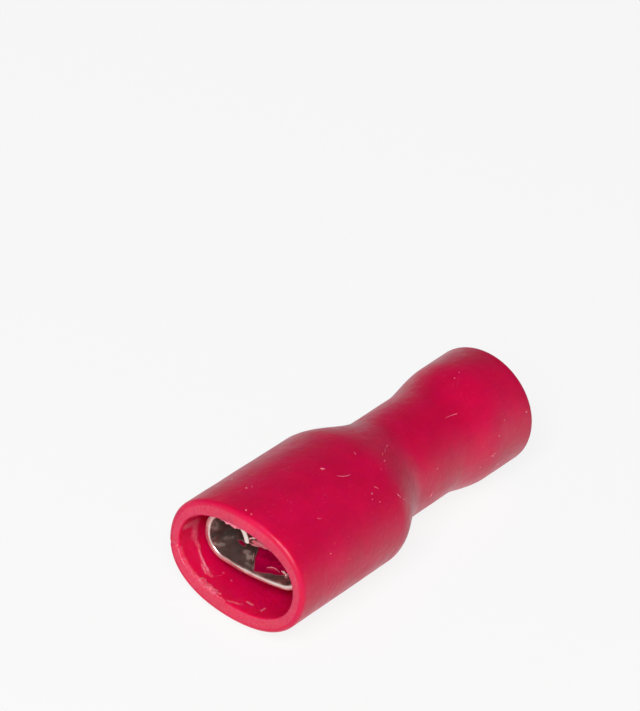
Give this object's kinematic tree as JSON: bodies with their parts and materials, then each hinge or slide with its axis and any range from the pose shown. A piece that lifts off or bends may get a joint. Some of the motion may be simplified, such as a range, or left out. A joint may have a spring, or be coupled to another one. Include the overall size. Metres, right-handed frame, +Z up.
{
  "type": "female spade terminal",
  "caption": "Insulated female spade terminal: a red moulded sleeve with an oval mouth and a flared wire entry over a rolled, tin-plated receptacle and crimp barrel.",
  "frame": {"origin": "on the surface that the terminal lies on, under the middle of its length", "axes": "+X along the terminal's axis, out of the mouth; +Y across the tab slot; +Z up, out of the upper broad side"},
  "size_m": [0.021, 0.0084, 0.007],
  "materials": {
    "red_vinyl": "soft satin",
    "tinned_brass": "bright tin plating"
  },
  "bodies": {
    "root": {"insulating_sleeve": "red_vinyl", "receptacle_contact": "tinned_brass"}
  },
  "joints": []
}
